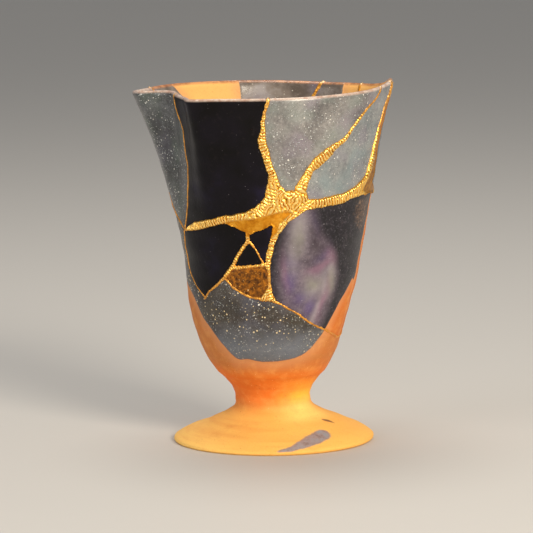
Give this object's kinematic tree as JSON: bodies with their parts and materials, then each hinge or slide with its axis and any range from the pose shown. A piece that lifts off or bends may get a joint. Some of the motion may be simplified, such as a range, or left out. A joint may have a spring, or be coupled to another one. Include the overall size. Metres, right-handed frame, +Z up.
{
  "type": "kintsugi goblet",
  "caption": "Stemmed hollow cup with a pinched spout, made of sherds with different glazes joined by raised gold lacquer seams.",
  "frame": {"origin": "centre of the foot's flat underside, on the table", "axes": "+Z up through the stem to the lip; the side with the most seams faces -Y; the pinched spout points to -X"},
  "size_m": [0.0739, 0.069, 0.1023],
  "materials": {
    "bare_terracotta": "matt bare clay with a speckled grey glaze on the front",
    "spout_grey_glaze": "speckled grey glaze",
    "upper_black_glaze": "near-black satin glaze",
    "upper_grey_glaze": "speckled grey glaze",
    "right_grey_glaze": "speckled blue-grey glaze",
    "iridescent_glaze": "dark violet glaze with soft bands",
    "lower_black_glaze": "near-black satin glaze",
    "small_black_glaze": "near-black satin glaze",
    "small_triangle_glaze": "near-black satin glaze",
    "brown_speckled_glaze": "dark brown glaze with gold-brown specks",
    "back_right_glaze": "grey glaze",
    "back_terracotta": "matt bare clay with a grey glaze outside",
    "back_left_glaze": "grey glaze with a bare clay patch inside",
    "gold_lacquer": "gold-dusted lacquer, wrinkled and satin"
  },
  "bodies": {
    "root": {"foot_and_lower_bowl": "bare_terracotta", "spout_sherd": "spout_grey_glaze", "upper_black_sherd": "upper_black_glaze", "upper_grey_sherd": "upper_grey_glaze", "right_grey_sherd": "right_grey_glaze", "iridescent_sherd": "iridescent_glaze", "lower_black_sherd": "lower_black_glaze", "small_black_sherd": "small_black_glaze", "small_triangle_sherd": "small_triangle_glaze", "brown_speckled_sherd": "brown_speckled_glaze", "back_right_sherd": "back_right_glaze", "back_sherd": "back_terracotta", "back_left_sherd": "back_left_glaze", "gold_seams": "gold_lacquer"}
  },
  "joints": []
}
